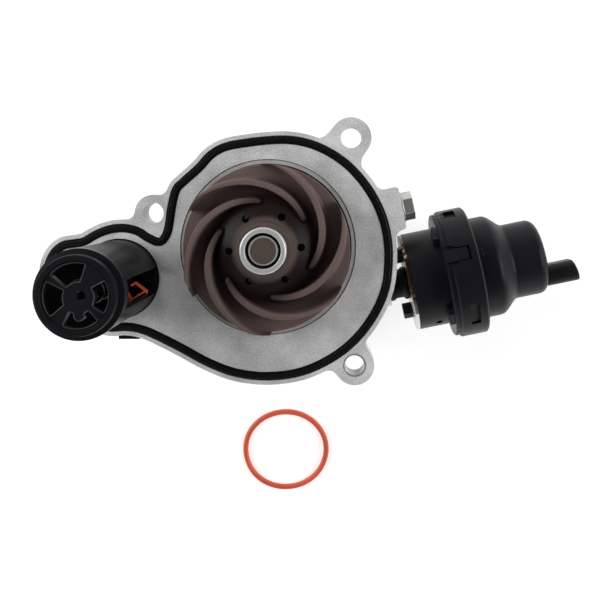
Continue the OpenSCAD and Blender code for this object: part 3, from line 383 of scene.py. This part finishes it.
def softened(node, width_mm, look=None):
    """A copy of a CAD node with its edges rounded, which stands for it."""
    sharp = 28
    mesh = NODES[node].data.copy()
    mesh.name = node + "_soft"
    work = bmesh.new()
    work.from_mesh(mesh)
    bmesh.ops.remove_doubles(work, verts=work.verts, dist=0.002 * MM)
    bmesh.ops.dissolve_limit(work, angle_limit=math.radians(0.3), verts=work.verts, edges=work.edges)
    work.to_mesh(mesh)
    work.free()
    piece = new_piece(node + "_soft", mesh, [node], look or SLOT_OF[node])
    bevel = piece.modifiers.new("edges", "BEVEL")
    bevel.width = width_mm * MM
    bevel.segments = 2
    bevel.limit_method = "ANGLE"
    bevel.angle_limit = math.radians(sharp)
    bevel.use_clamp_overlap = True
    bevel.harden_normals = False
    shade(mesh, sharp)
    weighted = piece.modifiers.new("normals", "WEIGHTED_NORMAL")
    weighted.keep_sharp = True


def lathe(name, profile, steps):
    """Turns a closed outline of (radius, height) points in millimetres about the shaft axis."""
    mesh = bpy.data.meshes.new(name)
    work = bmesh.new()
    rows = []
    for k in range(steps):
        turn = 2 * math.pi * k / steps
        rows.append([work.verts.new((r * math.cos(turn) * MM, r * math.sin(turn) * MM, z * MM))
                     for r, z in profile])
    count = len(profile)
    for k in range(steps):
        here, there = rows[k], rows[(k + 1) % steps]
        for i in range(count):
            work.faces.new((here[i], there[i], there[(i + 1) % count], here[(i + 1) % count]))
    bmesh.ops.remove_doubles(work, verts=work.verts, dist=0.0005 * MM)
    bmesh.ops.recalc_face_normals(work, faces=work.faces)
    work.to_mesh(mesh)
    work.free()
    return mesh


def clamp(value):
    """The value held between 0 and 1."""
    return min(1, max(0, value))


def smooth_profile(points):
    """Catmull-Rom curve through (radius, height) points."""
    steps = 6
    out = []
    for i in range(len(points) - 1):
        a, b = points[max(i - 1, 0)], points[i]
        c, d = points[i + 1], points[min(i + 2, len(points) - 1)]
        for k in range(steps):
            t = k / steps
            out.append(tuple(0.5 * (2 * b[m] + (c[m] - a[m]) * t
                                    + (2 * a[m] - 5 * b[m] + 4 * c[m] - d[m]) * t * t
                                    + (3 * b[m] - a[m] - 3 * c[m] + d[m]) * t ** 3) for m in (0, 1)))
    out.append(tuple(points[-1]))
    return out


def apply_modifiers(thing):
    """Bakes a thing's modifiers into its mesh."""
    graph = bpy.context.evaluated_depsgraph_get()
    graph.update()
    mesh = bpy.data.meshes.new_from_object(thing.evaluated_get(graph))
    thing.modifiers.clear()
    thing.data = mesh


def shade(mesh, angle):
    """Smooth shading, with edges past the angle in degrees left sharp."""
    for face in mesh.polygons:
        face.use_smooth = True
    mesh.set_sharp_from_angle(angle=math.radians(angle))


# ---------------------------------------------------------------- impeller

# Sizes are in millimetres and turns in degrees.
BUSH_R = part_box("impeller_bush")[1][0] / MM
IMPELLER_R = 35.3
DISC_BACK = 4.4
DISC_TOP = 7.0
BLADE_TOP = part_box("impeller")[0][2] / MM + 13.0
HUB_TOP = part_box("impeller")[1][2] / MM
HOLE_R = 1.6
HOLE_CIRCLE_R = 14.9
HOLE_TURN = 3
BLADE_IN_R = 19.8
BLADE_HALF = 1.42
BLADE_COUNT = 6
BLADE_START = 33.5
BLADE_WRAP = 120
DISC_LINE = smooth_profile([(IMPELLER_R - 0.25, DISC_TOP), (30, DISC_TOP + 0.5), (25, DISC_TOP + 1.8),
                            (20.3, DISC_TOP + 4), (16, DISC_TOP + 6.2), (13.2, DISC_TOP + 7.7),
                            (11.9, DISC_TOP + 9), (11.45, HUB_TOP - 0.7)])


def disc_height(r):
    """Top of the back disc at radius r."""
    for (r0, z0), (r1, z1) in zip(DISC_LINE, DISC_LINE[1:]):
        if r1 <= r <= r0:
            return z0 + (z1 - z0) * (r0 - r) / max(r0 - r1, 1e-6)
    return DISC_LINE[-1][1] if r < DISC_LINE[-1][0] else DISC_LINE[0][1]


def blade_section(t):
    """Cross-section of a blade at t from its inner end (0) to its tip (1), as a ring of points."""
    rounded = 0.06
    dipped = 0.05
    past_rim = 2
    bow = 1.5
    foot_run = 7.5
    half = BLADE_HALF * (0.42 + 0.58 * math.sin(math.pi * min(1, 0.12 + t)))
    if t < rounded:
        half *= math.sqrt(max(0.05, 1 - (1 - t / rounded) ** 2))
    middle = (BLADE_IN_R + (IMPELLER_R + past_rim - BLADE_IN_R) * t
              - bow * max(0, math.sin(math.pi * t)) ** 0.7)
    turn = math.radians(BLADE_START + BLADE_WRAP * t)
    slope = clamp((middle - BLADE_IN_R) / foot_run)
    top = BLADE_TOP - 2.9 * (1 - slope) ** 1.2
    if t < dipped:
        top -= 2.2 * (1 - t / dipped) ** 2
    floor = disc_height(min(middle, IMPELLER_R - 0.3))
    rise = top - floor
    soft = min(0.42, half * 0.7)
    side = [(half + 1.5, -0.7), (half + 0.95, 0.12), (half + 0.5, 0.55), (half + 0.3, 1.2),
            (half + 0.12, rise * 0.55), (half, rise - soft)]
    side += [(half - soft * (1 - math.cos(a)), rise - soft * (1 - math.sin(a)))
             for a in (math.radians(30), math.radians(60), math.radians(90))]
    ring = side + [(-x, z) for x, z in reversed(side)]
    points = []
    for across, up in ring:
        r = min(middle + across, IMPELLER_R - 0.02)
        points.append((r * math.cos(turn) * MM, r * math.sin(turn) * MM, (floor + up) * MM))
    return points


def drill(disc, turn):
    """Cuts one balance hole through the disc."""
    cut = bpy.data.meshes.new("cut")
    work = bmesh.new()
    away = HOLE_CIRCLE_R * MM
    place = (away * math.cos(turn), away * math.sin(turn), 9 * MM)
    bmesh.ops.create_cone(work, cap_ends=True, segments=28, radius1=HOLE_R * MM, radius2=HOLE_R * MM,
                          depth=20 * MM, matrix=Matrix.Translation(place))
    work.to_mesh(cut)
    work.free()
    tool = bpy.data.objects.new("drill", cut)
    link(tool)
    hole = disc.modifiers.new("hole", "BOOLEAN")
    hole.operation, hole.solver, hole.object = "DIFFERENCE", "EXACT", tool
    apply_modifiers(disc)
    bpy.data.objects.remove(tool)


def add_blades(mesh):
    """Adds the swept blades to the mesh of the disc."""
    work = bmesh.new()
    work.from_mesh(mesh)
    steps = 44
    for i in range(BLADE_COUNT):
        spin = Matrix.Rotation(math.radians(i * 360 / BLADE_COUNT), 4, "Z")
        rows = [[work.verts.new(spin @ Vector(p)) for p in blade_section(k / steps)]
                for k in range(steps + 1)]
        count = len(rows[0])
        for here, there in zip(rows, rows[1:]):
            for m in range(count):
                work.faces.new((here[m], here[(m + 1) % count], there[(m + 1) % count], there[m]))
        work.faces.new(rows[0])
        work.faces.new(list(reversed(rows[-1])))
    bmesh.ops.recalc_face_normals(work, faces=work.faces)
    work.to_mesh(mesh)
    work.free()


def make_impeller():
    """A lathed back disc with balance holes, and the blades on it."""
    bore = BUSH_R + 0.06
    profile = [(bore, DISC_BACK - 1.4), (14.4, DISC_BACK - 1.4), (19.4, DISC_BACK),
               (IMPELLER_R - 0.3, DISC_BACK), (IMPELLER_R, DISC_BACK + 0.3), (IMPELLER_R, DISC_TOP - 0.3)]
    profile += DISC_LINE
    profile += [(11.2, HUB_TOP - 0.2), (10.8, HUB_TOP), (bore + 0.3, HUB_TOP), (bore, HUB_TOP - 0.3)]
    disc = bpy.data.objects.new("impeller_disc", lathe("impeller_disc", profile, 144))
    link(disc)
    for i in range(BLADE_COUNT):
        drill(disc, math.radians(HOLE_TURN + i * 360 / BLADE_COUNT))
    mesh = disc.data
    bpy.data.objects.remove(disc)
    add_blades(mesh)
    shade(mesh, 35)
    store_painted_shade(mesh)
    new_piece("impeller_wheel", mesh, ["impeller"], "impeller_plastic")


def store_painted_shade(mesh):
    """Marks how much painted shade each point takes, deep in the channels: 0 on the rim and blade tops, 1
    by the hub's foot, less on the collar.
    """
    rim_r, fade = 31, 9
    collar_r, collar_fade = 12, 2.5
    depth = mesh.attributes.new("depth", "FLOAT", "POINT")
    for vertex, value in zip(mesh.vertices, depth.data):
        x, y, z = (c / MM for c in vertex.co)
        r = math.hypot(x, y)
        inward = clamp((rim_r - r) / fade)
        below = clamp((disc_height(r) + 5.5 - z) / 4.5)
        off_collar = clamp((r - collar_r) / collar_fade)
        value.value = inward * below * (0.35 + 0.65 * off_collar)


# ---------------------------------------------------------------- springs

def sweep(mesh, spine, radius, sides, closed=False):
    """A round tube of a given radius along a list of points."""
    work = bmesh.new()
    rows = []
    count = len(spine)
    for k, point in enumerate(spine):
        before = spine[k - 1] if k or closed else point
        after = spine[(k + 1) % count] if k < count - 1 or closed else point
        ahead = (after - before).normalized()
        across = ahead.cross(Vector((0, 0, 1)) if abs(ahead.z) < 0.9 else Vector((1, 0, 0))).normalized()
        up = across.cross(ahead)
        rows.append([work.verts.new(point + radius * (across * math.cos(a) + up * math.sin(a)))
                     for a in (2 * math.pi * m / sides for m in range(sides))])
    for k in range(count if closed else count - 1):
        here, there = rows[k], rows[(k + 1) % count]
        for m in range(sides):
            work.faces.new((here[m], there[m], there[(m + 1) % sides], here[(m + 1) % sides]))
    if not closed:
        work.faces.new(rows[0])
        work.faces.new(list(reversed(rows[-1])))
    bmesh.ops.recalc_face_normals(work, faces=work.faces)
    work.to_mesh(mesh)
    work.free()


def coil_spring(node, name, axis, wire_mm, turns):
    """A wound spring with closed ends in the space of its CAD node, wound along the given axis."""
    axis = Vector(axis).normalized()
    points = [v.co for v in NODES[node].data.vertices]
    centre = sum(points, Vector()) / len(points)
    reach = [(p - centre).dot(axis) for p in points]
    outer = max(((p - centre) - axis * (p - centre).dot(axis)).length for p in points)
    wire = wire_mm * MM
    low, high = min(reach) + wire, max(reach) - wire
    side = axis.orthogonal().normalized()
    other = axis.cross(side)
    closed_turns = 0.8
    inside = 0.998
    steps = turns * 36
    step_in = wire / (high - low)
    spine = []
    for k in range(steps + 1):
        turn = turns * k / steps
        rise = clamp((turn - closed_turns) / (turns - 2 * closed_turns))
        share = (step_in * min(turn, closed_turns) / closed_turns + (1 - 2 * step_in) * rise
                 + step_in * max(0, turn - turns + closed_turns) / closed_turns)
        angle = 2 * math.pi * turn
        spine.append(centre + axis * (low + (high - low) * share)
                     + (outer - wire) * inside * (side * math.cos(angle) + other * math.sin(angle)))
    mesh = bpy.data.meshes.new(name)
    sweep(mesh, spine, wire * 0.99, 14)
    shade(mesh, 60)
    piece = new_piece(name, mesh, [node], SLOT_OF[node])
    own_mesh(piece)


def make_springs():
    """The springs of the actuator and the thermostat."""
    coil_spring("actuator_spring", "actuator_coil", JOINTS["rod_pull"]["axis"], 1.0, 7)
    coil_spring("thermostat_spring", "thermostat_coil", (0, 0, 1), 0.8, 8)


# ---------------------------------------------------------------- end cap

def outline_loops(work, height):
    """The outlines, outer and inner, of the flat faces at a given height."""
    near = 0.02 * MM
    level_normal = 0.99
    beside = {}
    for edge in work.edges:
        level = all(abs(v.co.z - height) < near for v in edge.verts)
        if level and sum(abs(f.normal.z) > level_normal for f in edge.link_faces) == 1:
            a, b = edge.verts
            beside.setdefault(a, []).append(b)
            beside.setdefault(b, []).append(a)
    loops = []
    while beside:
        start = min(beside, key=lambda v: v.index)
        loop = [start]
        here, before = start, None
        while True:
            ahead = [v for v in beside[here] if v is not before]
            if not ahead or ahead[0] is start:
                break
            here, before = ahead[0], here
            loop.append(here)
        for vertex in loop:
            beside.pop(vertex, None)
        loops.append([v.co.copy() for v in loop])
    return loops


def make_window_lips():
    """Thin moulded lips around the windows of the thermostat's end cap, in a lighter plastic as painted
    highlight lines.
    """
    lip_r = 0.2 * MM
    rim_height = 0.8 * MM
    shortest, longest = 15 * MM, 60 * MM
    face_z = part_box("thermostat_end_cap")[1][2] - rim_height
    work = bmesh.new()
    work.from_mesh(NODES["thermostat_end_cap"].data)
    bmesh.ops.remove_doubles(work, verts=work.verts, dist=0.002 * MM)
    work.verts.index_update()
    work.normal_update()
    loops = outline_loops(work, face_z)
    work.free()
    for i, loop in enumerate(loops):
        girth = sum((b - a).length for a, b in zip(loop, loop[1:] + loop[:1]))
        if not shortest < girth < longest:
            continue
        name = f"window_lip_{i}"
        mesh = bpy.data.meshes.new(name)
        sweep(mesh, loop, lip_r, 8, closed=True)
        shade(mesh, 60)
        lip_and_highlight = bpy.data.objects.new(name, mesh)
        link(lip_and_highlight)
        mesh.materials.append(LOOKS["lip_and_highlight"].material)
        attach(lip_and_highlight, BODY_OF["thermostat_end_cap"])


# ---------------------------------------------------------------- loose ring

def make_loose_ring():
    """The silicone ring lies a little out of round."""
    low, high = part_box("loose_sealing_ring")
    middle = [(a + b) / 2 for a, b in zip(low, high)]
    section = (high[2] - low[2]) / 2 * 0.995
    half_x, half_y = 20.65, 19.35
    spine = []
    steps = 160
    for k in range(steps):
        turn = 2 * math.pi * k / steps
        wide = half_x + 0.12 * math.sin(3 * turn + 0.6)
        tall = half_y + 0.15 * math.sin(2 * turn + 1.1)
        spine.append(Vector(middle) + Vector((wide * math.cos(turn) * MM, tall * math.sin(turn) * MM, 0)))
    mesh = bpy.data.meshes.new("loose_ring")
    sweep(mesh, spine, section, 20, closed=True)
    shade(mesh, 60)
    new_piece("loose_ring", mesh, ["loose_sealing_ring"], "orange_rubber")


# ---------------------------------------------------------------- the pump

SOFT_EDGES_MM = {
    "pump_housing": 0.5, "housing_gasket": 0.8, "dowel_sleeve": 0.15, "coolant_plug": 0.4,
    "plug_washer": 0.3, "impeller_bush": 0.2, "pump_shaft": 0.2, "control_sleeve": 0.2,
    "belt_pulley": 0.2, "pulley_bolts": 0.4, "drive_hub": 0.3, "rod_boot": 0.5,
    "actuator_bracket": 0.3, "bracket_screws": 0.4, "actuator_can": 0.6, "actuator_nuts": 0.4,
    "clamp_ring": 0.4, "bell_cover": 0.5, "vacuum_port": 0.8, "thermostat_body": 0.3,
    "thermostat_end_cap": 0.35, "thermostat_port_seal": 0.3, "thermostat_plug": 0.5,
}
# The seal cup takes black steel in place of its own slot: painted shade, so the balance holes read dark.
LOOK_OF = {"pump_shaft": "turned_steel", "seal_cup": "black_steel"}
BUILT = {"impeller", "loose_sealing_ring", "actuator_spring", "thermostat_spring"}

make_camera()
make_lights()
make_floor()
LOOKS = make_looks()
make_impeller()
make_loose_ring()
make_springs()
make_window_lips()
for node, width in SOFT_EDGES_MM.items():
    softened(node, width, LOOK_OF.get(node))
for node, thing in NODES.items():
    if node not in SOFT_EDGES_MM and node not in BUILT:
        thing.data.materials.clear()
        thing.data.materials.append(LOOKS[LOOK_OF.get(node, SLOT_OF[node])].material)
